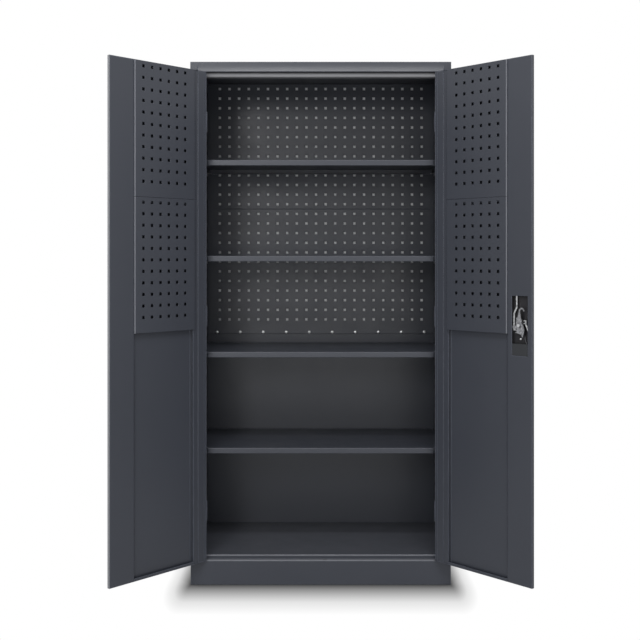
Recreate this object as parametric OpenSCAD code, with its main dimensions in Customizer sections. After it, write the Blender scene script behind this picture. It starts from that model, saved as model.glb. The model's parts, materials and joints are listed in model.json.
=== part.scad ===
// Steel tool cabinet with two perforated doors, four shelves and a three-point lock.
// Origin: on the floor, in the middle of the plinth's front flange. X runs to the right, Y back, Z up.
// The doors are drawn standing open, turned about their hinge pins by open_angle.

/* [Carcass] */
// Width over the side panels
cab_w = 914; // [800:1:1000]
// Depth over the side panels
cab_d = 460; // [400:1:560]
// Height from the floor to the top of the cap
cab_h = 1838; // [1660:1:2000]
// Thickness of the folded sheet steel
sheet = 1; // [0.8:0.1:1.2]
// Radius inside each bend of the sheet
bend_r = 1.2; // [0.6:0.1:1.6]
// Height of the plinth
plinth_h = 86; // [70:1:100]
// Width of the plinth's folded top and bottom flanges
plinth_flange = 30; // [26:1:40]
// Height of the floor panel above the plinth
floor_h = 14; // [10:1:18]
// Width of each front post
post_w = 45; // [40:1:55]
// Depth of the front posts
post_d = 24; // [22:1:30]
// Width of the lip folded back behind each post
post_lip = 12; // [8:1:20]
// Width of the flange folded in at the back of each side panel
back_flange = 15; // [10:1:25]
// Distance of the door stops behind the front of the posts
stop_back = 20; // [19:0.5:22]

/* [Top cap] */
// Height of the flange round the cap
cap_flange = 35; // [32:1:45]
// Overhang of the cap past the side panels
cap_over = 1.4; // [1.2:0.1:4]
// Plain corner at each end of the front flange's flared lip
cap_corner = 26; // [10:1:40]
// Height over which the front flange flares out
cap_lip_h = 27; // [8:1:27]
// How far the front flange flares out at its foot
cap_flare = 3.6; // [1:0.1:4]
// Height of the top rail that shows under the cap
rail_drop = 16; // [12:1:20]
// Lean of the top rail's face
rail_lean = 6; // [2:0.5:8]
// Depth of the top rail
rail_d = 36; // [26:1:50]

/* [Shelves] */
// Number of slots below the lowest shelf's clips
first_shelf_slot_count = 8; // [6:1:8]
// Slots from one shelf to the next
slots_per_shelf = 9; // [8:1:9]
// Pitch of the slots in the standards
slot_pitch = 38; // [36:0.5:38]
// Height of the lowest slot above the floor panel
slot_base = 51; // [40:1:60]
// Height of the shelves' folded edges
shelf_edge = 20; // [16:1:28]
// Return folded under each long edge of a shelf
shelf_return = 12; // [8:1:18]
// Distance of the shelves behind the front of the posts
shelf_set_back = 48; // [46:1:70]
// Half of the shelf's width at its front edge
shelf_front_half = 401; // [380:1:405]
// Depth of the narrower front strip of a shelf
shelf_notch = 14; // [10:1:30]
// Gap between a shelf's back edge and the back boards
shelf_back_gap = 2; // [1:0.5:10]
// Gap between a shelf's side and the standards
shelf_side_gap = 2.5; // [1:0.5:6]

/* [Shelf standards and clips] */
// Width of a slotted standard
standard_w = 30; // [26:1:40]
// How far a standard stands off the side panel
standard_d = 12; // [10:1:16]
// Distance from the front plane to the middle of a front standard
front_standard_in = 80; // [70:1:100]
// Distance from the back plane to the middle of a rear standard
rear_standard_in = 62; // [50:1:80]
// Width of a slot
slot_w = 12; // [11:0.5:14]
// Height of a slot
slot_h = 14; // [13:0.5:18]
// Length of a clip's tab under the shelf
clip_tab = 16; // [12:1:20]
// Width of a clip
clip_w = 18; // [16:1:24]
// Width of the hook behind a clip
clip_hook_w = 10; // [6:0.5:10]
// Thickness of a clip
clip_t = 1.6; // [1.2:0.1:2]

/* [Perforated panels] */
// Pitch of the holes
peg_pitch = 38; // [30:0.5:40]
// Side of a square hole
peg_hole = 10; // [6:0.5:12]
// Rows of holes in the upper back board
back_rows = 13; // [8:1:13]
// Gap between the perforated back boards and the rear sheet
board_gap = 6; // [2:0.5:8]
// Pitch of the hole columns in the doors' boards
door_peg_pitch = 35.4; // [30:0.1:38]
// Columns of holes in a door's board
door_peg_cols = 6; // [3:1:6]
// Rows of holes in a door's board
door_peg_rows = 11; // [5:1:11]
// Height of a door's board
tray_h = 448; // [430:1:448]
// Width of a door's board
tray_w = 255; // [230:1:255]
// Gap between the two boards of a door
tray_gap = 1; // [0.5:0.5:3]
// How far the boards stand proud of the door's stiles
tray_proud = 6; // [4:0.5:6]
// Distance from a board's edge beside the stile to its first column of holes
tray_side_margin = 34; // [20:1:44]
// Distance from a board's top to its first row of holes
tray_top_margin = 17; // [12:1:22]
// Distance from the door's top edge down to its upper board
tray_drop = 2; // [1:0.5:6]

/* [Doors] */
// Angle by which each door stands open
open_angle = 132.8; // [100:0.1:165]
// Depth of the doors' folded edges
door_d = 12; // [11:0.5:12]
// Gap between the two closed doors
door_gap = 3; // [2:0.5:5]
// Gap between a door's hinge edge and its post
hinge_gap = 2.5; // [2.3:0.1:4]
// Gap below and above the doors
door_clear = 2.5; // [2:0.5:4]
// Width of the box stile at a door's free edge
stile_w = 98; // [92:1:98]
// Width of the box stile at a door's hinge edge
hinge_stile_w = 59; // [56:1:64]
// Width of the raised part of the hinge stile
hinge_stile_raised = 38; // [30:1:44]
// Depth of the step beside the raised part
stile_step = 2; // [1:0.5:3]
// Width of the feet that weld a stile to the door's skin
stile_foot = 8; // [6:1:12]
// Width of the lips at a door's top and bottom
door_lip = 10; // [8:1:12]
// Width of the cross braces
brace_w = 36; // [24:1:50]

/* [Hinges] */
// Length of a hinge
hinge_len = 70; // [50:1:90]
// Radius of a hinge barrel
barrel_r = 3.5; // [3:0.1:3.6]
// Radius of a hinge pin
hinge_pin_r = 1.5; // [1.2:0.1:1.8]
// Distance of the hinge pin in front of the posts
pin_out = 4; // [4:0.1:5]
// Width of a hinge leaf behind the front plane
leaf_w = 15; // [10:1:18]
// Thickness of a hinge leaf
leaf_t = 1; // [0.8:0.1:1]
// Distance of the end hinges from the door's top and bottom
hinge_inset = 141; // [80:1:240]

/* [Lock] */
// Distance of the lock's spindle from the door's free edge
lock_s = 50; // [46:1:52]
// Height of the lock's spindle
lock_z = 930; // [900:1:980]
// Height of the window in the stile
window_h = 195; // [180:1:220]
// Width of the window in the stile
window_w = 62; // [58:1:66]
// Distance of the window from the free edge
window_s = 17; // [14:0.5:18]
// Distance of the window's foot below the spindle
window_below = 99; // [90:1:110]
// Height of the plate that closes the foot of the window
cover_h = 39; // [20:1:44]
// Turn of the handle from open to locked
lock_turn = 90; // [60:1:90]
// Radius of the circle that the cam's pins stand on
cam_r = 16; // [14:0.5:17]
// Radius of a cam pin
cam_pin_r = 2.5; // [2:0.1:3]
// Thickness of the cam, the yokes and the tongue
lock_plate = 1.6; // [1.2:0.1:2]
// Width of a flat lock rod
rod_w = 5.4; // [5:0.1:6]
// Thickness of a flat lock rod
rod_t = 3; // [2:0.1:3.4]
// Distance of a rod's end inside the closed door's edge
rod_inside = 6; // [5:0.5:8]
// Distance of the outer rod guides from the door's top and bottom
guide_inset = 66; // [40:1:120]
// Length of the hooked tongue from the spindle
tongue_len = 58; // [56:1:62]
// Radius of the spindle
spindle_r = 5; // [4.5:0.1:5]
// Radius of the handle's neck
neck_r = 8; // [7:0.1:10]
// Length of the T handle
handle_len = 78; // [60:1:90]
// Width of the T handle
handle_w = 17; // [15:0.5:22]
// Height of the handle in front of the door
handle_out = 22; // [18:1:30]
// Radius of the key plug
plug_r = 6; // [5:0.1:6.5]

/* [Fits] */
// Radial clearance of the pins, the spindle and the plug
run_clear = 0.05; // [0.02:0.01:0.08]
// Clearance between parts that are put together loosely
loose_clear = 0.3; // [0.2:0.1:0.5]
// Clearance of a rod in its guides
rod_clear = 0.3; // [0.2:0.1:0.5]

/* [Hidden] */

$fn = 48;
eps = 0.01;

// The origin stands this far behind the front plane.
origin_in = 15;
front_y = -origin_in;
back_y = front_y + cab_d;
mid_y = (front_y + back_y) / 2;
half_w = cab_w / 2;
jamb_x = half_w - post_w;
cap_z = cab_h - sheet;
floor_z = plinth_h + floor_h;
stop_y = front_y + stop_back;
rail_z = cab_h - cap_flange;
cap_r = cap_over - sheet;
wall_clear = 0.2;
bend_steps = 3;
arc_steps = 10;
lip_steps = 5;
edge_strip = 4;

// Shelves: the slots set their heights.
shelf_count = 4;
standard_x = half_w - sheet - standard_d;
shelf_half = standard_x - shelf_side_gap;
slot_z0 = floor_z + slot_base;
clip_slot_rise = 3;
shelf_tops = [for (i = [0:shelf_count - 1])
  slot_z0 - clip_slot_rise + (first_shelf_slot_count + i * slots_per_shelf) * slot_pitch + shelf_edge];
slot_top_margin = 30;
slot_count = floor((cap_z - slot_top_margin - slot_z0) / slot_pitch) + 1;
front_standard_y = front_y + front_standard_in;
rear_standard_y = back_y - rear_standard_in;
shelf_front_y = front_y + shelf_set_back;

// Back: the rear sheet lies on the side panels' flanges, and the boards hang in front of it.
rear_sheet_y = back_y - 2 * sheet;
back_panel_y = rear_sheet_y - sheet;
board_y = rear_sheet_y - board_gap - sheet;
shelf_back_y = board_y - shelf_back_gap;
board_h = back_rows * peg_pitch;
board_top = cap_z - sheet;
board_side_margin = 50;
board_cols = floor((cab_w - 2 * board_side_margin) / peg_pitch) + 1;
board_half = half_w - sheet - bend_r - wall_clear;
board_foot = board_top - 2 * board_h;
board_overlap = 22;
screw_rise = 7;
screw_pitch = 2.4 * peg_pitch;
screw_side_margin = 40;
screw_count = floor(2 * (board_half - screw_side_margin) / screw_pitch) + 1;
screw_shank_r = 2;
screw_head_r = 6.2;
screw_head_h = 2.4;

// Doors, drawn closed in their own frame: X from the free edge, Y into the cabinet.
hinge_x = jamb_x - hinge_gap / 2;
hinge_y = front_y - pin_out;
door_w = jamb_x - hinge_gap - door_gap / 2;
door_z0 = plinth_h + door_clear;
door_z1 = rail_z - door_clear;
tray_s = stile_w - sheet;
tray_d = door_d + tray_proud;
tray_top = door_z1 - tray_drop;
hinge_stile_s = door_w - hinge_stile_w;
stile_bead = 10;
upper_tray_z = tray_top - tray_h;
lower_tray_z = upper_tray_z - tray_gap - tray_h;
hinge_heights = [door_z0 + hinge_inset, (door_z0 + door_z1 - hinge_len) / 2,
  door_z1 - hinge_inset - hinge_len];
hinge_head_r = barrel_r - 0.8;
hinge_head_h = 1.6;

// Lock: depths in the door's frame, from its outer face inwards.
case_d = 2 * sheet;
cam_d = case_d + 0.3;
yoke_d = 5.6;
tongue_d = door_d + 1;
window_z = lock_z - window_below;
rod_offset = 23;
upper_rod_s = lock_s + rod_offset;
upper_rod_shift = 10.5;
upper_rod_top_s = upper_rod_s - upper_rod_shift;
lower_rod_s = lock_s - rod_offset;
lower_rod_foot_s = 13;
upper_rod_straight = 55;
lower_rod_straight = 14;
rod_bend_h = [20, 30];
rod_room = 7;
rod_travel = 2 * cam_r * sin(lock_turn / 2);
pin_s = cam_r * cos(lock_turn / 2);
pin_z = cam_r * sin(lock_turn / 2);
yoke_half_h = cam_pin_r + 3.6;
slot_half_h = cam_pin_r + 0.8;
slot_end = cam_pin_r + 0.6;
yoke_in = spindle_r + 1.3;
strike_w = 14;
strike_d = 9;
guide_w = 16;
guide_h = 14;
guide_heights = [door_z0 + guide_inset, door_z1 - guide_inset];
cam_boss_r = 11;
cam_arm_w = 2 * cam_pin_r + 5;
case_screw_drop = 44;
escutcheon_r = 24;
escutcheon_step = 3;
escutcheon_h = 3;
nut_r = 8;
nut_h = 3.6;
grip_h = 12;
grip_edge = 2;
grip_foot = 3;
head_rim = 5;
head_proud = 1;
plug_proud = 0.5;
plug_depth = 13;
keyway = [1.4, 8, 3];

body_grey = [0.26, 0.27, 0.30];
shelf_grey = [0.24, 0.25, 0.27];
backing_grey = [0.55, 0.56, 0.57];
zinc = [0.72, 0.73, 0.74];
dark_steel = [0.20, 0.20, 0.21];
chrome = [0.80, 0.81, 0.83];

// ---- Folded sheet ----

function unit(v) = v / norm(v);
function side_normal(v) = [v[1], -v[0]];
function turned(v, a) = [v[0] * cos(a) - v[1] * sin(a), v[0] * sin(a) + v[1] * cos(a)];
function mitred(a, b, c, t) =
  let (n1 = side_normal(unit(b - a)), n2 = side_normal(unit(c - b))) b + t * (n1 + n2) / (1 + n1 * n2);

// One bend, as points on the face that lies a distance at from the path (0, or the thickness t).
function bend(a, b, c, t, r, at) =
  let (n1 = side_normal(unit(b - a)), n2 = side_normal(unit(c - b)),
    angle = atan2(n1[0] * n2[1] - n1[1] * n2[0], n1 * n2),
    inward = angle * t < 0 ? sign(t) : -sign(t),
    path_r = angle * t < 0 ? r + abs(t) : r,
    face_r = angle * t < 0 ? path_r - abs(at) : path_r + abs(at),
    centre = mitred(a, b, c, inward * path_r))
  [for (i = [0:bend_steps]) centre - inward * face_r * turned(n1, angle * i / bend_steps)];

function face(p, t, r, at) = [for (i = [0:len(p) - 1]) each
  i == 0 ? [p[0] + at * side_normal(unit(p[1] - p[0]))]
  : i == len(p) - 1 ? [p[i] + at * side_normal(unit(p[i] - p[i - 1]))]
  : r > 0 ? bend(p[i - 1], p[i], p[i + 1], t, r, at)
  : [mitred(p[i - 1], p[i], p[i + 1], at)]];
function arc(centre, r, a0, a1) = [for (i = [0:arc_steps])
  let (a = a0 + (a1 - a0) * i / arc_steps) centre + r * [cos(a), sin(a)]];
function reversed(p) = [for (i = [len(p) - 1:-1:0]) p[i]];

// Cross-section of a sheet bent along a path: its thickness lies to the right of the path.
module folded(path, t = sheet, r = bend_r) {
  polygon(concat(face(path, t, r, 0), reversed(face(path, t, r, t))));
}

// The area inside a bent sheet's outer face, closed across its ends.
module filled(path, t = sheet, r = bend_r) {
  polygon(face(path, t, r, 0));
}

// Extrudes a Y-Z section along X, from x0 to x1.
module along_x(x0, x1) {
  translate([x0, 0, 0]) rotate([90, 0, 90]) linear_extrude(x1 - x0) children();
}

// Extrudes an X-Z section along Y, from y0 to y1.
module along_y(y0, y1) {
  translate([0, y1, 0]) rotate([90, 0, 0]) linear_extrude(y1 - y0) children();
}

// Stands an X-Y section up from z0 to z1.
module upright(z0, z1) {
  translate([0, 0, z0]) linear_extrude(z1 - z0) children();
}

module mirror_x() {
  mirror([1, 0, 0]) children();
}

// A box from one corner to the other.
module block(a, b) {
  translate(a) cube(b - a);
}

// Square grid of holes in an X-Z plate: the first column and row, then the counts.
module peg_grid(x0, z0, cols, rows, pitch_x, pitch_z) {
  for (i = [0:cols - 1], j = [0:rows - 1])
    translate([x0 + i * pitch_x, z0 - j * pitch_z]) square(peg_hole, center = true);
}

// ---- Carcass ----

module side_panel() {
  path = [
    [half_w - back_flange, back_y], [half_w, back_y], [half_w, front_y],
    [jamb_x, front_y], [jamb_x, front_y + post_d], [jamb_x + post_lip, front_y + post_d]];
  color(body_grey) upright(plinth_h, cap_z) folded(path);
}

// Section of the cap from one side to the other, without the flare of its front.
function pan_path(half, z0) = [[-half, z0], [-half, cab_h], [half, cab_h], [half, z0]];

// The block that one face of the cap's pan bounds: the outer face at 0, the inner face at sheet.
module pan_block(x, y, z0, at) {
  intersection() {
    along_x(-x, x) polygon(face(pan_path(y, z0), sheet, cap_r, at));
    along_y(-y, y) polygon(face(pan_path(x, z0), sheet, cap_r, at));
  }
}

// Section of the cap's front flange, which flares out more and more towards its foot.
module flared_flange(half) {
  lip = [for (i = [0:lip_steps])
    [-half - cap_flare * pow(1 - i / lip_steps, 2), rail_z + cap_lip_h * i / lip_steps]];
  folded(concat(lip, [[-half, cap_z - cap_r]]), sheet, 0);
}

module top_cap() {
  x = half_w + cap_over;
  y = cab_d / 2 + cap_over;
  run_x = x - cap_corner;
  color(body_grey) translate([0, mid_y, 0]) {
    difference() {
      pan_block(x, y, rail_z, 0);
      pan_block(x, y, rail_z - sheet, sheet);
      block([-run_x, -y - sheet, rail_z - sheet], [run_x, -y + 2 * sheet, rail_z + cap_lip_h]);
    }
    along_x(-run_x, run_x) flared_flange(y);
  }
}

module top_rail() {
  foot = rail_z - rail_drop;
  back_lip = 9;
  path = [
    [stop_y + rail_d, foot + back_lip], [stop_y + rail_d, foot], [stop_y, foot],
    [stop_y + rail_lean, rail_z], [stop_y + rail_lean, cap_z], [stop_y + rail_d, cap_z]];
  color(body_grey) along_x(-jamb_x, jamb_x) folded(path);
}

module floor_panel() {
  side = half_w - sheet - wall_clear;
  back = rear_sheet_y - loose_clear;
  behind_post = front_y + post_d + wall_clear;
  strip_y = stop_y + edge_strip;
  color(body_grey) {
    upright(floor_z - sheet, floor_z)
      polygon([[-jamb_x, strip_y - sheet], [jamb_x, strip_y - sheet], [jamb_x, behind_post],
        [side, behind_post], [side, back], [-side, back], [-side, behind_post], [-jamb_x, behind_post]]);
    along_x(-jamb_x, jamb_x) folded([[stop_y, plinth_h], [stop_y, floor_z], [strip_y, floor_z]]);
    block([-side, back - sheet, plinth_h], [side, back, floor_z]);
    for (x = [-side, side - sheet]) block([x, behind_post, plinth_h], [x + sheet, back, floor_z]);
  }
}

// Folded C section of the plinth: face at y = 0, flanges running towards +Y.
plinth_path = [[plinth_flange, 0], [0, 0], [0, plinth_h], [plinth_flange, plinth_h]];

// A plinth piece across the width, with its ends closed.
module plinth_across() {
  along_x(-half_w, half_w) folded(plinth_path);
  for (x = [-half_w, half_w - sheet]) along_x(x, x + sheet) filled(plinth_path);
}

module plinth_front() {
  color(body_grey) difference() {
    translate([0, front_y, 0]) plinth_across();
    strike_slot();
  }
}

// Slot in the plinth's top flange that the lower rod drops into.
module strike_slot() {
  x = door_gap / 2 + lower_rod_foot_s;
  y = front_y + yoke_d + rod_t / 2;
  block([x - strike_w / 2, y - strike_d / 2, plinth_h - 2 * sheet],
    [x + strike_w / 2, y + strike_d / 2, plinth_h + sheet]);
}

module plinth_rear() {
  color(body_grey) translate([0, back_y, 0]) mirror([0, 1, 0]) plinth_across();
}

module plinth_side() {
  color(body_grey) mirror_x() translate([-half_w, 0, 0])
    along_y(front_y + plinth_flange, back_y - plinth_flange) folded(plinth_path);
}

// A plate standing across the back, bored for the screws.
module rear_plate(y, z0, z1) {
  along_y(y, y + sheet) difference() {
    translate([-board_half, z0]) square([2 * board_half, z1 - z0]);
    screw_places() circle(screw_shank_r + run_clear);
  }
}

module rear_sheet() {
  color(backing_grey) rear_plate(rear_sheet_y, plinth_h, board_top);
}

module back_panel() {
  color(body_grey) rear_plate(back_panel_y, floor_z, board_foot + board_overlap);
}

// Perforated board with its edges folded back. The foot of the lower board stands on the back panel.
module back_board(z0, rows, foot_y, side_z0) {
  z1 = z0 + board_h;
  span = (board_cols - 1) * peg_pitch;
  color(body_grey) {
    along_y(board_y, board_y + sheet) difference() {
      translate([-board_half, z0]) square([2 * board_half, board_h]);
      peg_grid(-span / 2, z1 - peg_pitch / 2, board_cols, rows, peg_pitch, peg_pitch);
      if (rows < back_rows) screw_places() circle(screw_shank_r + loose_clear);
    }
    block([-board_half, board_y, z0], [board_half, foot_y, z0 + sheet]);
    block([-board_half, board_y, z1 - sheet], [board_half, rear_sheet_y, z1]);
    for (x = [-board_half, board_half - sheet])
      block([x, board_y, side_z0], [x + sheet, rear_sheet_y, z1]);
  }
}

module screw_places() {
  for (i = [0:screw_count - 1])
    translate([(i - (screw_count - 1) / 2) * screw_pitch, board_foot + screw_rise]) children();
}

module back_pegboard_upper() {
  back_board(board_foot + board_h, back_rows, rear_sheet_y, board_foot + board_h);
}

module back_pegboard_lower() {
  back_board(board_foot, back_rows - 1, back_panel_y, board_foot + board_overlap + sheet);
}

module back_panel_screws() {
  dome_r = (screw_head_r * screw_head_r + screw_head_h * screw_head_h) / (2 * screw_head_h);
  shank = back_y - board_y;
  color(zinc) translate([0, board_y, 0]) rotate([90, 0, 0]) screw_places() {
    intersection() {
      translate([0, 0, screw_head_h - dome_r]) sphere(dome_r);
      cylinder(r = screw_head_r, h = screw_head_h);
    }
    translate([0, 0, -shank]) cylinder(r = screw_shank_r, h = shank + eps);
  }
}

// ---- Standards, clips and shelves ----

module standard(y) {
  web = standard_w / 2 - sheet;
  foot = 8;
  wall = half_w - sheet;
  face = standard_x + sheet;
  path = [
    [wall, y + web + foot], [wall, y + web], [face, y + web], [face, y - web],
    [wall, y - web], [wall, y - web - foot]];
  color(dark_steel) difference() {
    upright(floor_z, cap_z) folded(path, sheet, 0);
    for (i = [0:slot_count - 1]) translate([standard_x - sheet, y - slot_w / 2,
        slot_z0 + i * slot_pitch - slot_h / 2]) cube([3 * sheet, slot_w, slot_h]);
  }
}

module shelf(z) {
  under = z - shelf_edge;
  step_y = shelf_front_y + shelf_notch;
  long_edge = [
    [shelf_front_y + shelf_return, under], [shelf_front_y, under], [shelf_front_y, z],
    [shelf_back_y, z], [shelf_back_y, under], [shelf_back_y - shelf_return, under]];
  color(shelf_grey) {
    along_x(-shelf_front_half, shelf_front_half) folded(long_edge);
    for (s = [-1, 1]) {
      x0 = s < 0 ? -shelf_half : shelf_front_half;
      x1 = s < 0 ? -shelf_front_half : shelf_half;
      edge = s < 0 ? -shelf_half : shelf_half - sheet;
      block([x0, step_y, z - sheet], [x1, shelf_back_y, z]);
      block([edge, step_y, under], [edge + sheet, shelf_back_y, z]);
      block([x0, step_y, under], [x1, step_y + sheet, z]);
      block([x0, shelf_back_y - sheet, under], [x1, shelf_back_y, z]);
    }
  }
}

// One clip: a tab under the shelf, a plate on the standard and a hook through its slot.
module clip(y, tab_z) {
  inner = standard_x;
  plate_h = slot_h / 2 + clip_slot_rise;
  neck = 6;
  hook_gap = 1.2;
  hook_h = 13;
  hook_back = inner + sheet + hook_gap;
  neck_top = tab_z + clip_slot_rise + slot_h / 2 - 1;
  along_y(y - clip_w / 2, y + clip_w / 2) {
    translate([inner - clip_tab, tab_z - clip_t]) square([clip_tab, clip_t]);
    translate([inner - clip_t, tab_z - plate_h]) square([clip_t, 2 * plate_h]);
  }
  along_y(y - clip_hook_w / 2, y + clip_hook_w / 2) {
    translate([inner, neck_top - neck]) square([hook_back - inner, neck]);
    translate([hook_back, neck_top - hook_h]) square([clip_t, hook_h]);
  }
}

module shelf_clips(z) {
  tab_z = z - shelf_edge;
  color(zinc) for (y = [front_standard_y, rear_standard_y]) {
    clip(y, tab_z);
    mirror_x() clip(y, tab_z);
  }
}

// ---- Hinges ----

// Places the right door's own frame: X from the free edge, Y into the closed cabinet.
module right_door_frame() {
  translate([hinge_x, hinge_y, 0]) rotate([0, 0, open_angle]) translate([-hinge_x, -hinge_y, 0])
    translate([door_gap / 2, front_y, 0]) children();
}

module left_door_frame() {
  mirror_x() right_door_frame() children();
}

// Half of a butt hinge: a flat leaf, a tab that reaches the pin, and a bored barrel.
module hinge_half(leaf_x, z, z0, z1) {
  difference() {
    union() {
      block([leaf_x, front_y + loose_clear, z], [leaf_x + leaf_t, front_y + leaf_w, z + hinge_len]);
      block([leaf_x, hinge_y, z0], [leaf_x + leaf_t, front_y + loose_clear, z1]);
      translate([hinge_x, hinge_y, z0]) cylinder(r = barrel_r, h = z1 - z0);
    }
    translate([hinge_x, hinge_y, z0 - 1]) cylinder(r = hinge_pin_r + run_clear, h = z1 - z0 + 2);
  }
}

module frame_leaves() {
  color(body_grey) for (z = hinge_heights)
    hinge_half(jamb_x - leaf_t, z, z, z + hinge_len / 2 - loose_clear);
}

module hinge_pins() {
  color(zinc) for (z = hinge_heights) translate([hinge_x, hinge_y, z]) {
    cylinder(r = hinge_pin_r, h = hinge_len + loose_clear + eps);
    translate([0, 0, hinge_len + loose_clear]) cylinder(r = hinge_head_r, h = hinge_head_h);
  }
}

module door_leaves() {
  color(body_grey) translate([-door_gap / 2, -front_y, 0]) for (z = hinge_heights)
    hinge_half(jamb_x - hinge_gap, z, z + hinge_len / 2 + loose_clear, z + hinge_len);
}

// ---- Doors, in their own frame ----

module door_panel(with_lock) {
  skin = [[0, door_d], [0, 0], [door_w, 0], [door_w, door_d]];
  lip_a = stile_w + loose_clear;
  lip_b = hinge_stile_s - loose_clear;
  color(body_grey) difference() {
    union() {
      upright(door_z0, door_z1) folded(skin, -sheet);
      for (z = [door_z0, door_z1 - sheet]) upright(z, z + sheet) filled(skin, -sheet);
      for (z = [door_z0, door_z1 - door_lip])
        block([lip_a, door_d - sheet, z], [lip_b, door_d, z + door_lip]);
    }
    if (with_lock) {
      on_spindle(-sheet) cylinder(r = neck_r + run_clear, h = 3 * sheet);
      rod_hole(upper_rod_top_s, door_z1 - 2 * sheet, 3 * sheet, rod_clear);
      rod_hole(lower_rod_foot_s, door_z0 - sheet, 3 * sheet, rod_clear);
    }
  }
}

module door_stile(with_window) {
  path = [
    [sheet, 3 * sheet], [sheet, door_d], [stile_w, door_d], [stile_w, 2 * sheet],
    [stile_w + stile_foot, 2 * sheet]];
  color(body_grey) difference() {
    upright(door_z0 + sheet, door_z1 - sheet) folded(path);
    if (with_window)
      block([window_s, door_d - 2 * sheet, window_z],
        [window_s + window_w, door_d + sheet, window_z + window_h]);
  }
}

module door_hinge_stile() {
  a = door_w - sheet;
  bead_s = door_w - stile_bead;
  step_s = door_w - hinge_stile_raised;
  low = door_d - stile_step;
  path = [
    [a, 3 * sheet], [a, door_d - sheet], [bead_s, door_d - sheet], [bead_s, door_d],
    [step_s, door_d], [step_s, low], [hinge_stile_s, low], [hinge_stile_s, 2 * sheet],
    [hinge_stile_s - stile_foot, 2 * sheet]];
  color(body_grey) upright(door_z0 + sheet, door_z1 - sheet) folded(path, -sheet, 0);
}

module door_brace(z0) {
  path = [[2 * sheet, z0], [door_d, z0], [door_d, z0 + brace_w], [2 * sheet, z0 + brace_w]];
  color(body_grey) along_x(stile_w, hinge_stile_s) folded(path, -sheet);
}

module door_middle_brace() {
  door_brace(upper_tray_z - (tray_gap + brace_w) / 2);
}

module door_lower_brace() {
  door_brace(lower_tray_z);
}

// Perforated board with a folded edge all round, standing on the stiles and braces.
module door_pegboard(z0) {
  s1 = tray_s + tray_w;
  low = door_d - stile_step;
  inset = edge_strip - sheet;
  color(body_grey) {
    along_y(tray_d - sheet, tray_d) difference() {
      translate([tray_s + inset, z0]) square([tray_w - 2 * inset, tray_h]);
      peg_grid(tray_s + tray_side_margin, z0 + tray_h - tray_top_margin,
        door_peg_cols, door_peg_rows, door_peg_pitch, peg_pitch);
    }
    upright(z0, z0 + tray_h) {
      folded([[tray_s, door_d], [tray_s, tray_d], [tray_s + edge_strip, tray_d]]);
      folded([[s1 - edge_strip, tray_d], [s1, tray_d], [s1, low]]);
    }
    for (z = [z0, z0 + tray_h - sheet]) upright(z, z + sheet)
      filled([[tray_s, door_d], [tray_s, tray_d], [s1, tray_d], [s1, door_d]]);
  }
}

// ---- Lock ----

// Turns a shape whose height runs into the cabinet, at the spindle and the given depth.
module on_spindle(d) {
  translate([lock_s, d, lock_z]) rotate([-90, 0, 0]) children();
}

// A plate cut from an outline in the door's own X-Z plane, from depth d0 to d1.
module door_plate(d0, d1) {
  translate([0, d1, 0]) rotate([90, 0, 0]) linear_extrude(d1 - d0) children();
}

module lock_case() {
  margin = 2;
  s0 = lower_rod_foot_s - rod_room;
  s1 = upper_rod_s + rod_room;
  z0 = window_z - margin;
  z1 = window_z + window_h + margin;
  wall_d = door_d - sheet - loose_clear;
  color(dark_steel) difference() {
    union() {
      block([s0, sheet, z0], [s1, case_d, z1]);
      for (s = [s0, s1 - sheet]) block([s, sheet, z0], [s + sheet, wall_d, z1]);
      for (z = [z0, z1 - sheet]) block([s0, sheet, z], [s1, wall_d, z + sheet]);
      block([s0, wall_d - sheet, z0], [s1, wall_d, window_z + cover_h]);
    }
    on_spindle(0) cylinder(r = spindle_r + 2 * run_clear, h = 2 * case_d);
    rod_hole(upper_rod_top_s, z1 - 2 * sheet, 3 * sheet, 2 * rod_clear);
    rod_hole(lower_rod_foot_s, z0 - sheet, 3 * sheet, 2 * rod_clear);
  }
}

module lock_case_screw() {
  head_r = 3.6;
  head_h = 3;
  dome_h = 1.2;
  color(zinc) translate([lock_s, case_d, lock_z - case_screw_drop]) rotate([-90, 0, 0]) {
    cylinder(r = head_r, h = head_h);
    translate([0, 0, head_h]) cylinder(r1 = head_r, r2 = head_r - dome_h, h = dome_h);
  }
}

// Leaf spring: a thin strip that rises from the foot of the case beside the cam.
module lock_spring() {
  top = [lock_s - 17, lock_z - 32];
  foot = top - [10, 36];
  knee = top - [2, 12];
  tab = [4, 5];
  leaf_d = 7;
  color(zinc) {
    door_plate(case_d + sheet, leaf_d) folded([top, knee, foot], sheet, 0);
    block([foot[0] - sheet, case_d, foot[1]], [foot[0] + tab[0], leaf_d, foot[1] + tab[1]]);
  }
}

module rod_guide(s, z) {
  reach = yoke_d + rod_t + 1.2;
  color(zinc) difference() {
    union() {
      block([s - guide_w / 2, sheet, z], [s + guide_w / 2, 2 * sheet, z + guide_h]);
      block([s - guide_w / 2, sheet, z], [s + guide_w / 2, reach, z + lock_plate]);
    }
    rod_hole(s, z - sheet, lock_plate + 2 * sheet, rod_clear);
  }
}

module rod_guides() {
  rod_guide(upper_rod_top_s, guide_heights[1]);
  rod_guide(upper_rod_top_s, (guide_heights[1] + lock_z) / 2);
  rod_guide(lower_rod_foot_s, guide_heights[0]);
  rod_guide(lower_rod_foot_s, (guide_heights[0] + lock_z) / 2);
}

// Flat bar of a lock rod: its outline bent along a path, with the path as its left edge.
module rod_bar(path) {
  door_plate(yoke_d, yoke_d + rod_t) folded(path, rod_w, 0);
}

// Slot for a rod that passes through a sheet lying across it.
module rod_hole(s, z, h, clear) {
  block([s - rod_w / 2 - clear, yoke_d - clear, z], [s + rod_w / 2 + clear, yoke_d + rod_t + clear, z + h]);
}

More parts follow.
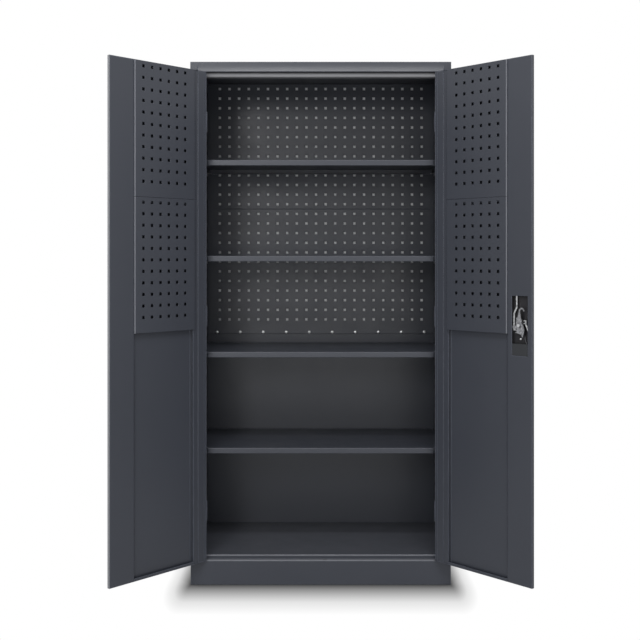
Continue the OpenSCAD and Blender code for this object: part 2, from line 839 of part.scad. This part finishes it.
// Slotted plate at a rod's end that a cam pin slides in.
module yoke(side, z) {
  reach = lock_s + side * rod_offset;
  inner = lock_s + side * yoke_in;
  slot_a = lock_s + side * (pin_s - slot_end);
  slot_b = lock_s + side * (cam_r + slot_end);
  door_plate(yoke_d, yoke_d + lock_plate) difference() {
    translate([min(inner, reach), z - yoke_half_h]) square([abs(reach - inner), 2 * yoke_half_h]);
    translate([min(slot_a, slot_b), z - slot_half_h]) square([abs(slot_b - slot_a), 2 * slot_half_h]);
  }
}

module upper_lock_rod() {
  z = lock_z - pin_z;
  foot = z - yoke_half_h;
  bend_z = foot + upper_rod_straight;
  low = upper_rod_s - rod_w / 2;
  high = upper_rod_top_s - rod_w / 2;
  color(zinc) {
    rod_bar([[low, foot], [low, bend_z], [high, bend_z + rod_bend_h[0]], [high, door_z1 - rod_inside]]);
    yoke(1, z);
  }
}

module lower_lock_rod() {
  z = lock_z + pin_z;
  head = z + yoke_half_h;
  bend_z = head - lower_rod_straight;
  near = lower_rod_s + rod_w / 2;
  far = lower_rod_foot_s + rod_w / 2;
  color(zinc) {
    rod_bar([[near, head], [near, bend_z], [far, bend_z - rod_bend_h[1]], [far, door_z0 + rod_inside]]);
    yoke(-1, z);
  }
}

module lock_cam() {
  pin_top = yoke_d + lock_plate + 1;
  color(zinc) {
    door_plate(cam_d, cam_d + lock_plate) translate([lock_s, lock_z]) difference() {
      union() {
        circle(cam_boss_r);
        rotate(-lock_turn / 2) square([2 * cam_r, cam_arm_w], center = true);
        for (a = [-lock_turn / 2, 180 - lock_turn / 2]) rotate(a) translate([cam_r, 0]) circle(cam_arm_w / 2);
      }
      circle(spindle_r + run_clear);
    }
    for (s = [-1, 1]) translate([lock_s + s * pin_s, cam_d + lock_plate, lock_z - s * pin_z])
      rotate([-90, 0, 0]) cylinder(r = cam_pin_r, h = pin_top - cam_d - lock_plate);
  }
}

module spindle_spacer() {
  start = cam_d + lock_plate;
  color(zinc) on_spindle(start) difference() {
    cylinder(r = spindle_r + 0.9, h = tongue_d - start);
    translate([0, 0, -sheet]) cylinder(r = spindle_r + run_clear, h = tongue_d);
  }
}

// Hooked tongue that swings behind the other door. It points up when the lock is open.
// Its outline is measured from the spindle and starts with the hook's ring at the top.
module lock_tongue() {
  hook_r = 11;
  hook_w = 5;
  hook_at = [-hook_r, tongue_len - hook_r];
  throat_r = 10.5;
  throat_at = [-20, 11];
  outline = concat(
    arc(hook_at, hook_r, 0, 180), arc(hook_at, hook_r - hook_w, 180, 0),
    [[-8, 24]], arc(throat_at, throat_r, 40, -70),
    [[-22, -15], [-15, -38], [-6, -29], [1, -26], [16, -24], [8, -19], [9, -11], [24, -10],
      [24, -2], [12, -1], [11, 24], [4, 28]]);
  color(zinc) door_plate(tongue_d, tongue_d + lock_plate) translate([lock_s, lock_z]) difference() {
    polygon(outline);
    circle(spindle_r + run_clear);
  }
}

module spindle_nut() {
  color(zinc) on_spindle(tongue_d + lock_plate) difference() {
    cylinder(r = nut_r, h = nut_h, $fn = 6);
    translate([0, 0, -sheet]) cylinder(r = spindle_r + run_clear, h = 2 * nut_h);
  }
}

module handle_escutcheon() {
  color(dark_steel) on_spindle(-escutcheon_h) difference() {
    union() {
      translate([0, 0, escutcheon_h / 2]) cylinder(r = escutcheon_r, h = escutcheon_h / 2);
      cylinder(r = escutcheon_r - escutcheon_step, h = escutcheon_h);
    }
    translate([0, 0, -sheet]) cylinder(r = neck_r + run_clear, h = 2 * escutcheon_h);
  }
}

// T handle with its neck and spindle in one piece, bored for the key plug. It stands upright when open.
module lock_handle() {
  head_r = plug_r + head_rim;
  head_top = handle_out + head_proud;
  head_foot = escutcheon_h + loose_clear;
  spindle_end = tongue_d + lock_plate + nut_h + 1;
  color(chrome) difference() {
    union() {
      on_spindle(-handle_out) hull() for (side = [-1, 1])
        translate([0, side * (handle_len - handle_w) / 2, 0]) {
          translate([0, 0, grip_foot]) cylinder(r = handle_w / 2, h = grip_h - grip_foot - grip_edge);
          cylinder(r = handle_w / 2 - grip_edge, h = grip_h);
        }
      on_spindle(-head_top) cylinder(r = head_r, h = head_top - head_foot);
      on_spindle(-head_foot) cylinder(r = neck_r, h = head_foot + sheet);
      on_spindle(0) cylinder(r = spindle_r, h = spindle_end);
    }
    on_spindle(-head_top - sheet) cylinder(r = plug_r + run_clear, h = plug_depth + 2 * sheet);
  }
}

module lock_plug() {
  start = handle_out + head_proud + plug_proud;
  color(chrome) on_spindle(-start) difference() {
    cylinder(r = plug_r, h = plug_depth + plug_proud);
    translate([-keyway[0] / 2, -keyway[1] / 2, -eps]) cube(keyway);
  }
}

// ---- Assembly ----

mirror_x() side_panel();  // left_side_panel
side_panel();  // right_side_panel
top_cap();
top_rail();
floor_panel();
plinth_front();
plinth_rear();
mirror_x() plinth_side();  // plinth_left
plinth_side();  // plinth_right
rear_sheet();
back_panel();
back_pegboard_lower();
back_pegboard_upper();
back_panel_screws();
mirror_x() standard(front_standard_y);  // standard_front_left
standard(front_standard_y);  // standard_front_right
mirror_x() standard(rear_standard_y);  // standard_rear_left
standard(rear_standard_y);  // standard_rear_right
shelf(shelf_tops[0]);  // shelf_1
shelf(shelf_tops[1]);  // shelf_2
shelf(shelf_tops[2]);  // shelf_3
shelf(shelf_tops[3]);  // shelf_4
shelf_clips(shelf_tops[0]);  // shelf_clips_1
shelf_clips(shelf_tops[1]);  // shelf_clips_2
shelf_clips(shelf_tops[2]);  // shelf_clips_3
shelf_clips(shelf_tops[3]);  // shelf_clips_4
mirror_x() frame_leaves();  // left_hinge_frame_leaves
frame_leaves();  // right_hinge_frame_leaves
mirror_x() hinge_pins();  // left_hinge_pins
hinge_pins();  // right_hinge_pins
left_door_frame() door_panel(false);  // left_door_panel
left_door_frame() door_stile(false);  // left_door_stile
left_door_frame() door_hinge_stile();  // left_door_hinge_stile
left_door_frame() door_middle_brace();  // left_door_middle_brace
left_door_frame() door_lower_brace();  // left_door_lower_brace
left_door_frame() door_pegboard(upper_tray_z);  // left_door_pegboard_upper
left_door_frame() door_pegboard(lower_tray_z);  // left_door_pegboard_lower
left_door_frame() door_leaves();  // left_hinge_door_leaves
right_door_frame() door_panel(true);  // right_door_panel
right_door_frame() door_stile(true);  // right_door_stile
right_door_frame() door_hinge_stile();  // right_door_hinge_stile
right_door_frame() door_middle_brace();  // right_door_middle_brace
right_door_frame() door_lower_brace();  // right_door_lower_brace
right_door_frame() door_pegboard(upper_tray_z);  // right_door_pegboard_upper
right_door_frame() door_pegboard(lower_tray_z);  // right_door_pegboard_lower
right_door_frame() door_leaves();  // right_hinge_door_leaves
right_door_frame() lock_case();
right_door_frame() lock_case_screw();
right_door_frame() lock_spring();
right_door_frame() rod_guides();
right_door_frame() handle_escutcheon();
right_door_frame() lock_handle();
right_door_frame() lock_cam();
right_door_frame() spindle_spacer();
right_door_frame() lock_tongue();
right_door_frame() spindle_nut();
right_door_frame() lock_plug();
right_door_frame() upper_lock_rod();
right_door_frame() lower_lock_rod();
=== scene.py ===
import bpy
import json
import math
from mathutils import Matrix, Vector


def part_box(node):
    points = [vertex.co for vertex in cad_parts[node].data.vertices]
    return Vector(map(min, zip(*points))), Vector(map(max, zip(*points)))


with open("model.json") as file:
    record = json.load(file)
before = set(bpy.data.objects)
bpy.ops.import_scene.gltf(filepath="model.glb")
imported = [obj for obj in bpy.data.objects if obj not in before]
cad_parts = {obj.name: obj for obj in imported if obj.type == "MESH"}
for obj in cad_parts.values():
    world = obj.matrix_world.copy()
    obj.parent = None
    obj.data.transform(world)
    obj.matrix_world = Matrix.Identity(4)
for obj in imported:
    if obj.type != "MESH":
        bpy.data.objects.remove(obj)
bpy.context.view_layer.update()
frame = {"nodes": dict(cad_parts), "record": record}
NODES = frame["nodes"]
scene = bpy.context.scene

# ---- Camera: level, in front of the middle of the cabinet ----

FRAME_PX = 640
FOCAL_PX = 1013.0
SENSOR = 36.0
CAMERA_AT = (0.0, -3.575, 1.152)
# How far the vanishing point lies above and to the right of the picture's middle, in pixels
HORIZON_UP = 63.0
CENTRE_RIGHT = 0.74

cam_data = bpy.data.cameras.new("camera")
cam_data.sensor_width = SENSOR
cam_data.lens = FOCAL_PX / FRAME_PX * SENSOR
cam_data.shift_x = -CENTRE_RIGHT / FRAME_PX
cam_data.shift_y = -HORIZON_UP / FRAME_PX
cam_data.clip_start = 0.05
cam_data.clip_end = 100.0
cam = bpy.data.objects.new("camera", cam_data)
cam.location = CAMERA_AT
cam.rotation_euler = (math.radians(90), 0, 0)
scene.collection.objects.link(cam)
scene.camera = cam

scene.view_settings.view_transform = "Standard"

# ---- Colours ----

WHITE = (1.0, 1.0, 1.0, 1.0)


def srgb(r, g, b):
    """Linear colour from 8-bit sRGB values."""
    def lin(c):
        c = c / 255.0
        return c / 12.92 if c <= 0.04045 else ((c + 0.055) / 1.055) ** 2.4
    return (lin(r), lin(g), lin(b), 1.0)


def scaled(colour, k):
    return tuple(min(1.0, c * k) for c in colour[:3]) + (1.0,)


# ---- Node helpers ----

# Span in which a noise has most of its values
NOISE_LO, NOISE_HI = 0.3, 0.7


class Graph:
    """Shader nodes of one material or world. Each call returns the output with its result."""

    def __init__(self, tree):
        self.nodes, self.links = tree.nodes, tree.links

    def feed(self, value, socket):
        """Puts a plain value on a socket, or links an output to it."""
        if isinstance(value, (float, tuple)):
            socket.default_value = value
        else:
            self.links.new(value, socket)

    def place(self):
        return self.nodes.new("ShaderNodeTexCoord").outputs["Object"]

    def part(self, vector, axis):
        node = self.nodes.new("ShaderNodeSeparateXYZ")
        self.links.new(vector, node.inputs["Vector"])
        return node.outputs[axis]

    def noise(self, place, scale, detail, rough, squash=None):
        tex = self.nodes.new("ShaderNodeTexNoise")
        tex.inputs["Scale"].default_value = scale
        tex.inputs["Detail"].default_value = detail
        tex.inputs["Roughness"].default_value = rough
        if squash is not None:
            mapping = self.nodes.new("ShaderNodeMapping")
            mapping.inputs["Scale"].default_value = squash
            self.links.new(place, mapping.inputs["Vector"])
            place = mapping.outputs["Vector"]
        self.links.new(place, tex.inputs["Vector"])
        return tex.outputs["Fac"]

    def ramp(self, fac, stops):
        node = self.nodes.new("ShaderNodeValToRGB")
        elements = node.color_ramp.elements
        elements[0].position, elements[0].color = stops[0]
        elements[1].position, elements[1].color = stops[-1]
        for position, colour in stops[1:-1]:
            elements.new(position).color = colour
        self.links.new(fac, node.inputs["Fac"])
        return node.outputs["Color"]

    def tones(self, fac, colour, stops):
        """One colour, made darker or lighter at each stop."""
        return self.ramp(fac, [(position, scaled(colour, k)) for position, k in stops])

    def level(self, value, lo, hi, start=NOISE_LO, end=NOISE_HI):
        """lo where the value is at start, hi where it is at end, and clamped beyond."""
        node = self.nodes.new("ShaderNodeMapRange")
        node.inputs["From Min"].default_value = start
        node.inputs["From Max"].default_value = end
        node.inputs["To Min"].default_value = lo
        node.inputs["To Max"].default_value = hi
        self.links.new(value, node.inputs["Value"])
        return node.outputs["Result"]

    def maths(self, operation, *values):
        node = self.nodes.new("ShaderNodeMath")
        node.operation = operation
        for value, socket in zip(values, node.inputs):
            self.feed(value, socket)
        return node.outputs["Value"]

    def vector_maths(self, operation, *values):
        node = self.nodes.new("ShaderNodeVectorMath")
        node.operation = operation
        for value, socket in zip(values, node.inputs):
            self.feed(value, socket)
        return node.outputs["Value"]

    def mix(self, fac, a, b):
        node = self.nodes.new("ShaderNodeMix")
        node.data_type = "RGBA"
        self.feed(fac, node.inputs["Factor"])
        # Sockets 6 and 7 and output 2 are the ones for colour.
        self.feed(a, node.inputs[6])
        self.feed(b, node.inputs[7])
        return node.outputs[2]

    def mix_shader(self, fac, a, b):
        node = self.nodes.new("ShaderNodeMixShader")
        for value, socket in zip((fac, a, b), node.inputs):
            self.links.new(value, socket)
        return node.outputs["Shader"]

    def open_air(self, reach, samples, own_only=False):
        """Ambient occlusion: 0 in the tight places, 1 in the open."""
        node = self.nodes.new("ShaderNodeAmbientOcclusion")
        node.samples = samples
        node.only_local = own_only
        node.inputs["Distance"].default_value = reach
        return node.outputs["AO"]

    def bump(self, height, strength, depth, normal=None):
        node = self.nodes.new("ShaderNodeBump")
        node.inputs["Strength"].default_value = strength
        node.inputs["Distance"].default_value = depth
        self.links.new(height, node.inputs["Height"])
        if normal is not None:
            self.links.new(normal, node.inputs["Normal"])
        return node.outputs["Normal"]

    def colour_socket(self):
        return self.nodes["Principled BSDF"].inputs["Base Color"]

    def painted(self):
        """What is linked to the colour now."""
        return self.colour_socket().links[0].from_socket

    def repaint(self, colour):
        self.links.new(colour, self.colour_socket())


def new_material(name):
    mat = bpy.data.materials.new(name)
    mat.use_nodes = True
    mat.node_tree.nodes.clear()
    return mat, Graph(mat.node_tree)


def new_surface(name):
    """Material with one principled shader."""
    mat, graph = new_material(name)
    out = graph.nodes.new("ShaderNodeOutputMaterial")
    bsdf = graph.nodes.new("ShaderNodeBsdfPrincipled")
    graph.links.new(bsdf.outputs["BSDF"], out.inputs["Surface"])
    return mat, graph, bsdf


# ---- Powder coat ----

COAT_ROUGH = 0.34
COAT_SPECULAR = 0.4
# Noises: scale per metre, detail, roughness
DRIFT = (2.6, 4.0, 0.55)
SPECK = (1500.0, 2.0, 0.6)
GLOSS = (9.0, 5.0, 0.6)
FINE_PEEL = (900.0, 2.0, 0.5)
BROAD_PEEL = (260.0, 2.0, 0.5)
HIGHLIGHT_PATCHES = (28.0, 5.0, 0.65)
# Stops: value of the noise, share of the coat's own tone
DRIFT_TONES = ((0.25, 0.94), (0.75, 1.05))
SPECK_TONES = ((0.3, 0.86), (0.7, 1.14))
SPECK_SHARE = 0.35
# Bumps: strength, depth
FINE_BUMP = (0.22, 0.0004)
BROAD_BUMP = (0.16, 0.0009)
GLOSS_SPREAD = (-0.04, 0.05)
# Tone of the painted shade in the corners and of the painted highlight on the convex edges, as
# shares of the coat's
CORNER_TONE = 0.7
EDGE_TONE = 3.4
# How open a place is where the painted shade ends
CORNER_END = 0.6
EDGE_RADIUS = 0.003
# Cosine between the true and the rounded normal, where an edge has the full painted highlight and
# where it ends
EDGE_FULL, EDGE_NONE = 0.84, 0.985
CORNER_REACH = 0.012


# Painted highlight: a mask that lightens the convex edges, where a glossy bend would catch the
# light.
def edge_highlight_masks(graph, place):
    """Rounded normal near the edges, a painted-highlight mask along the convex ones broken up by
    noise patches, and the open places, which set the painted shade in the corners.
    """
    soft = graph.nodes.new("ShaderNodeBevel")
    soft.samples = 6
    soft.inputs["Radius"].default_value = EDGE_RADIUS
    rounded = soft.outputs["Normal"]
    true = graph.nodes.new("ShaderNodeNewGeometry").outputs["True Normal"]
    turned = graph.level(
        graph.vector_maths("DOT_PRODUCT", rounded, true), 1.0, 0.0, EDGE_FULL, EDGE_NONE)
    air = graph.open_air(CORNER_REACH, 4, own_only=True)
    open_place = graph.level(air, 0.0, 1.0, 0.55, 0.95)
    patches = graph.level(graph.noise(place, *HIGHLIGHT_PATCHES), 0.6, 1.0, 0.35, 0.6)
    edge = graph.maths("MULTIPLY", turned, open_place)
    return rounded, graph.maths("MULTIPLY", edge, patches), open_place


def coat(name, colour, rough=COAT_ROUGH, highlight_share=1.0):
    """Powder coat: orange peel, grain in the pigment, drifts of tone and gloss, a painted highlight
    along the convex edges and painted shade in the corners.
    """
    mat, graph, bsdf = new_surface(name)
    place = graph.place()
    rounded, edge, open_place = edge_highlight_masks(graph, place)
    tone = graph.tones(graph.noise(place, *DRIFT), colour, DRIFT_TONES)
    speck = graph.tones(graph.noise(place, *SPECK), colour, SPECK_TONES)
    base = graph.mix(SPECK_SHARE, tone, speck)
    # Painted shade: the coat is darkened in its tight corners by ambient occlusion.
    corners = graph.level(open_place, 1.0, 0.0, 0.0, CORNER_END)
    corner_shaded = graph.mix(corners, base, scaled(colour, CORNER_TONE))
    # Painted highlight: the convex edges are lightened to EDGE_TONE times the coat's tone.
    edges = graph.maths("MULTIPLY", edge, highlight_share)
    graph.repaint(graph.mix(edges, corner_shaded, scaled(colour, EDGE_TONE)))
    gloss = graph.level(
        graph.noise(place, *GLOSS), rough + GLOSS_SPREAD[0], rough + GLOSS_SPREAD[1])
    graph.links.new(gloss, bsdf.inputs["Roughness"])
    peel = graph.bump(graph.noise(place, *FINE_PEEL), *FINE_BUMP, rounded)
    peel = graph.bump(graph.noise(place, *BROAD_PEEL), *BROAD_BUMP, peel)
    graph.links.new(peel, bsdf.inputs["Normal"])
    bsdf.inputs["Specular IOR Level"].default_value = COAT_SPECULAR
    return mat


# ---- Metal ----

CLOUD = (140.0, 4.0, 0.65)
CLOUD_SPAN = (0.35, 0.65)
# Most that a cloud takes from the tone and gives to it
CLOUD_DARK, CLOUD_BRIGHT = 0.55, 0.3
# Reach of the painted shade in the metal's recesses
RECESS_SHADE_REACH = 0.012
MARK_DEPTH = 0.0003
MARK_GLOSS = (-0.06, 0.08)
EVENLY = (1.0, 1.0, 1.0)
DRAWN_ALONG_Z = (1.0, 1.0, 0.12)


def recess(graph, reach, lo, hi):
    """0 in the tight places of the object, 1 in the open."""
    return graph.level(graph.open_air(reach, 6), 0.0, 1.0, lo, hi)


def metal(name, colour, rough, bump, recess_shade=0.7, cloudy=1.0, brushed=EVENLY, marks_scale=180.0):
    """Plated or drawn metal: fine marks, cloudy tone, uneven gloss and painted shade in the
    recesses.
    """
    mat, graph, bsdf = new_surface(name)
    place = graph.place()
    bsdf.inputs["Metallic"].default_value = 1.0
    base = graph.tones(graph.noise(place, *CLOUD), colour, (
        (CLOUD_SPAN[0], 1.0 - CLOUD_DARK * cloudy), (CLOUD_SPAN[1], 1.0 + CLOUD_BRIGHT * cloudy)))
    # Painted shade: the metal is darker in its recesses, by ambient occlusion.
    open_place = recess(graph, RECESS_SHADE_REACH, 0.35, 0.85)
    graph.repaint(graph.mix(open_place, scaled(colour, 1.0 - recess_shade), base))
    marks = graph.noise(place, marks_scale, 4.0, 0.6, brushed)
    gloss = graph.level(marks, rough + MARK_GLOSS[0], rough + MARK_GLOSS[1])
    graph.links.new(gloss, bsdf.inputs["Roughness"])
    graph.links.new(graph.bump(marks, bump, MARK_DEPTH), bsdf.inputs["Normal"])
    return mat


# ---- Coats with more than one tone, painted shade and painted highlights ----

# Half of the height over which the cover's tone comes in
COVER_FADE = 0.001
# Length over which a painted highlight band fades at each end
BAND_FADE = 0.0004


def lock_coat(name, inside, cover, cover_top):
    """Black coat with painted shade, darkest round the mechanism, and the lighter cover at the foot
    of the case.
    """
    mat = coat(name, inside, 0.5)
    graph = Graph(mat.node_tree)
    # Painted shade: the coat is darkened to a tenth in the recesses round the mechanism.
    recess_shaded = graph.mix(recess(graph, 0.05, 0.35, 0.95), scaled(inside, 0.1), graph.painted())
    height = graph.part(graph.place(), "Z")
    low = graph.level(height, 1.0, 0.0, cover_top - COVER_FADE, cover_top + COVER_FADE)
    graph.repaint(graph.mix(low, recess_shaded, cover))
    return mat


def two_sided(name, inner, outer, rough):
    """Sheet with a lighter coat on the faces towards the front, and the cabinet's coat behind."""
    mat = coat(name, inner, rough)
    graph = Graph(mat.node_tree)
    front = graph.painted()
    normal = graph.nodes.new("ShaderNodeTexCoord").outputs["Normal"]
    faces_front = graph.level(graph.part(normal, "Y"), 1.0, 0.0, -0.6, -0.4)
    graph.repaint(graph.mix(faces_front, outer, front))
    return mat


def highlight_band(mat, colour, direction, end, start_in, end_in):
    """Painted highlight: a lighter coat in a band across a direction, between two distances inside
    its far end.
    """
    graph = Graph(mat.node_tree)
    lo, hi = end - start_in, end - end_in
    along = graph.vector_maths("DOT_PRODUCT", graph.place(), direction)
    above = graph.level(along, 0.0, 1.0, lo - BAND_FADE, lo)
    below = graph.level(along, 1.0, 0.0, hi, hi + BAND_FADE)
    graph.repaint(graph.mix(graph.maths("MULTIPLY", above, below), graph.painted(), colour))
    return mat


def highlight_by_height(mat, stops, lo, hi):
    """Painted highlight and shade: a tone that changes with height between two places."""
    graph = Graph(mat.node_tree)
    height = graph.part(graph.place(), "Z")
    graph.repaint(graph.ramp(graph.level(height, 0.0, 1.0, lo, hi), stops))
    return mat


def furthest(node, direction):
    """How far a node's mesh reaches along a direction."""
    return max(v.co.dot(Vector(direction)) for v in NODES[node].data.vertices)


# ---- Materials of the record's slots ----

PAINT = srgb(58, 61, 69)
LOCK_COVER_TOP = 0.870

MATERIALS = {
    "body_coat": coat("charcoal_coat", PAINT),
    "door_coat": coat("charcoal_coat_door", PAINT),
    "shelf_coat": coat("charcoal_coat_shelf", PAINT, 0.36),
    "backing_coat": two_sided("primer_backing", srgb(232, 233, 235), PAINT, 0.5),
    "standard_steel": coat("dark_coat_standard", srgb(44, 45, 48), 0.5),
    "zinc": metal("zinc_plate", srgb(172, 173, 177), 0.3, 0.35, brushed=DRAWN_ALONG_Z),
    "lock_black": lock_coat(
        "black_coat_lock", srgb(34, 33, 37), srgb(46, 48, 51), LOCK_COVER_TOP),
    "handle_chrome": metal(
        "chrome_plate", srgb(226, 228, 230), 0.12, 0.03, recess_shade=0.2, cloudy=0.08, marks_scale=60.0),
}

# ---- Materials of single nodes: painted highlights for light that the lamps don't give, and metals of their own ----

# Colours of the painted highlights along the bends of the floor's lip, the plinth's top, the left
# door's free edge and the door boards' edges
BAND_HIGHLIGHT = srgb(116, 118, 125)
DOOR_EDGE_HIGHLIGHT = srgb(128, 130, 135)
# Height of the part of the rail that shows under the cap, and its tones from foot to top: a painted
# highlight across its middle, darker at its edges
RAIL_SHOWS = 0.018
RAIL_TONES = [
    (0.0, srgb(96, 97, 101)),
    (0.35, srgb(204, 205, 209)),
    (0.65, srgb(182, 183, 187)),
    (1.0, srgb(60, 61, 66)),
]
UP = (0.0, 0.0, 1.0)
# From each door's hinge towards its free edge, as the door stands at rest
DOOR_RUNS = {"left": (-0.679, -0.734, 0.0), "right": (0.679, -0.734, 0.0)}
# How much of the painted edge highlight is left on the boards
BOARD_HIGHLIGHT_SHARE = 0.25
# Painted highlight bands: where they begin and end inside the far end, below 0 for past it
FLOOR_BAND = (0.003, 0.0003)
PLINTH_BAND = (0.002, 0.0)
DOOR_BAND = (0.0006, -0.001)
BOARD_BAND = (0.0012, -0.001)

rail_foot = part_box("top_rail")[0][2]
own_materials = {
    # Painted highlight across the rail's face, under the cap
    "top_rail": highlight_by_height(
        coat("rail_painted_highlight", PAINT), RAIL_TONES, rail_foot, rail_foot + RAIL_SHOWS),
    "back_panel_screws": metal(
        "screw_plate", srgb(238, 239, 240), 0.45, 0.1, recess_shade=0.0, cloudy=0.2),
}
# Painted highlight bands on the floor's lip, the plinth's top and the left door's free edge
for node, name, colour, run, band in (
        ("floor_panel", "floor", BAND_HIGHLIGHT, UP, FLOOR_BAND),
        ("plinth_front", "plinth", BAND_HIGHLIGHT, UP, PLINTH_BAND),
        ("left_door_panel", "left_panel", DOOR_EDGE_HIGHLIGHT, DOOR_RUNS["left"], DOOR_BAND)):
    own_materials[node] = highlight_band(
        coat("charcoal_coat_" + name, PAINT), colour, run, furthest(node, run), *band)
for node in ("upper_lock_rod", "lower_lock_rod", "lock_case_screw"):
    own_materials[node] = metal(
        "bright_" + node, srgb(222, 223, 225), 0.35, 0.15, recess_shade=0.3, brushed=DRAWN_ALONG_Z)
# Painted highlight bands along the door boards' edges
for side, run in DOOR_RUNS.items():
    boards = [side + "_door_pegboard_" + half for half in ("upper", "lower")]
    mat = coat("charcoal_coat_board_" + side, PAINT, highlight_share=BOARD_HIGHLIGHT_SHARE)
    highlight_band(mat, BAND_HIGHLIGHT, run, max(furthest(board, run) for board in boards), *BOARD_BAND)
    own_materials.update(dict.fromkeys(boards, mat))
for half in ("upper", "lower"):
    own_materials["back_pegboard_" + half] = coat(
        "charcoal_coat_back_" + half, PAINT, highlight_share=BOARD_HIGHLIGHT_SHARE)

slot_of = {part["node"]: part["material_slot"] for part in frame["record"]["subparts"]}

for name, obj in NODES.items():
    obj.data.materials.clear()
    obj.data.materials.append(own_materials.get(name) or MATERIALS[slot_of[name]])

# ---- Floor ----

FLOOR_HALF = 14.0
FLOOR_COLOUR = (0.85, 0.85, 0.85, 1.0)
# Footprint of the cabinet: half width, middle of the depth, half depth
FOOT_X = 0.457
FOOT_Y = 0.215
FOOT_D = 0.23
# Distance at which the painted shadow ends in plain white floor, and how many times sooner that is
# at the sides
SHADOW_REACH = 0.3
SIDE_FALL = 3.5
FLOOR_SHADOW_TONES = [(d, (v, v, v, 1.0)) for d, v in ((0.0, 0.08), (0.25, 0.36), (0.6, 0.78), (1.0, 1.0))]
FLOOR_AIR_REACH = 0.12


def floor_painted_shadow(graph):
    """Painted shadow: a tone by the distance from the footprint, from dark beside it to white."""
    place = graph.place()
    flat = graph.nodes.new("ShaderNodeCombineXYZ")
    for axis, centre, half_side, fall in (
            ("X", 0.0, FOOT_X, SIDE_FALL), ("Y", FOOT_Y, FOOT_D, 1.0)):
        off = graph.maths("ABSOLUTE", graph.maths("SUBTRACT", graph.part(place, axis), centre))
        beyond = graph.level(off, 0.0, fall, half_side, half_side + 1.0)
        graph.links.new(beyond, flat.inputs[axis])
    distance = graph.vector_maths("LENGTH", flat.outputs["Vector"])
    return graph.ramp(graph.level(distance, 0.0, 1.0, 0.0, SHADOW_REACH), FLOOR_SHADOW_TONES)


def stage_floor():
    """White floor. The camera sees a fixed shading in place of a traced shadow: a tone by the
    distance from the footprint, times ambient occlusion. All other rays see a pale matt floor."""
    mesh = bpy.data.meshes.new("floor")
    corners = [(x * FLOOR_HALF, y * FLOOR_HALF, 0) for x, y in ((-1, -1), (1, -1), (1, 1), (-1, 1))]
    mesh.from_pydata(corners, [], [(0, 1, 2, 3)])
    obj = bpy.data.objects.new("floor", mesh)
    scene.collection.objects.link(obj)
    mat, graph = new_material("floor_white")
    out = graph.nodes.new("ShaderNodeOutputMaterial")
    look = graph.nodes.new("ShaderNodeEmission")
    graph.links.new(floor_painted_shadow(graph), look.inputs["Color"])
    # Painted shade: ambient occlusion darkens the floor's look to the camera.
    air = graph.level(graph.open_air(FLOOR_AIR_REACH, 8), 0.0, 1.0, 0.2, 0.6)
    graph.links.new(air, look.inputs["Strength"])
    diffuse = graph.nodes.new("ShaderNodeBsdfDiffuse")
    diffuse.inputs["Color"].default_value = FLOOR_COLOUR
    path = graph.nodes.new("ShaderNodeLightPath")
    surface = graph.mix_shader(
        path.outputs["Is Camera Ray"], diffuse.outputs["BSDF"], look.outputs["Emission"])
    graph.links.new(surface, out.inputs["Surface"])
    mesh.materials.append(mat)


# ---- Background and light ----

AMBIENT = 0.46
# Softboxes: name, place, aim, width, height, power
SOFTBOXES = [
    ("low_front", (0.0, -4.3, 0.7), (0.0, 0.2, 1.2), 3.2, 0.8, 15.0),
    ("top_front", (0.0, -3.3, 3.7), (0.0, 0.0, 1.5), 2.6, 0.7, 36.0),
    ("lip", (0.0, -2.6, 4.05), (0.0, 0.0, 1.8), 3.0, 0.3, 54.0),
    ("key", (-1.3, -4.1, 2.1), (0.1, 0.3, 1.1), 0.8, 0.8, 26.0),
    ("side_left", (-2.5, 0.25, 1.1), (-0.6, -0.1, 1.0), 0.7, 2.2, 4.5),
]


def background():
    """White to the camera and in reflections, and a softer ambient light on the cabinet."""
    world = bpy.data.worlds.new("studio")
    scene.world = world
    world.use_nodes = True
    graph = Graph(world.node_tree)
    graph.nodes.clear()
    out = graph.nodes.new("ShaderNodeOutputWorld")
    path = graph.nodes.new("ShaderNodeLightPath")
    seen = graph.maths("MAXIMUM", path.outputs["Is Camera Ray"], path.outputs["Is Glossy Ray"])
    seen = graph.maths("MAXIMUM", seen, path.outputs["Is Transmission Ray"])
    shades = []
    for strength in (AMBIENT, 1.0):
        shade = graph.nodes.new("ShaderNodeBackground")
        shade.inputs["Color"].default_value = WHITE
        shade.inputs["Strength"].default_value = strength
        shades.append(shade.outputs["Background"])
    graph.links.new(graph.mix_shader(seen, *shades), out.inputs["Surface"])


def softbox(name, at, aim, width, height, power):
    data = bpy.data.lights.new(name, "AREA")
    data.shape = "RECTANGLE"
    data.size, data.size_y = width, height
    data.energy = power
    obj = bpy.data.objects.new(name, data)
    obj.location = at
    obj.rotation_euler = (Vector(aim) - Vector(at)).to_track_quat("-Z", "Y").to_euler()
    scene.collection.objects.link(obj)


stage_floor()
background()
for box in SOFTBOXES:
    softbox(*box)
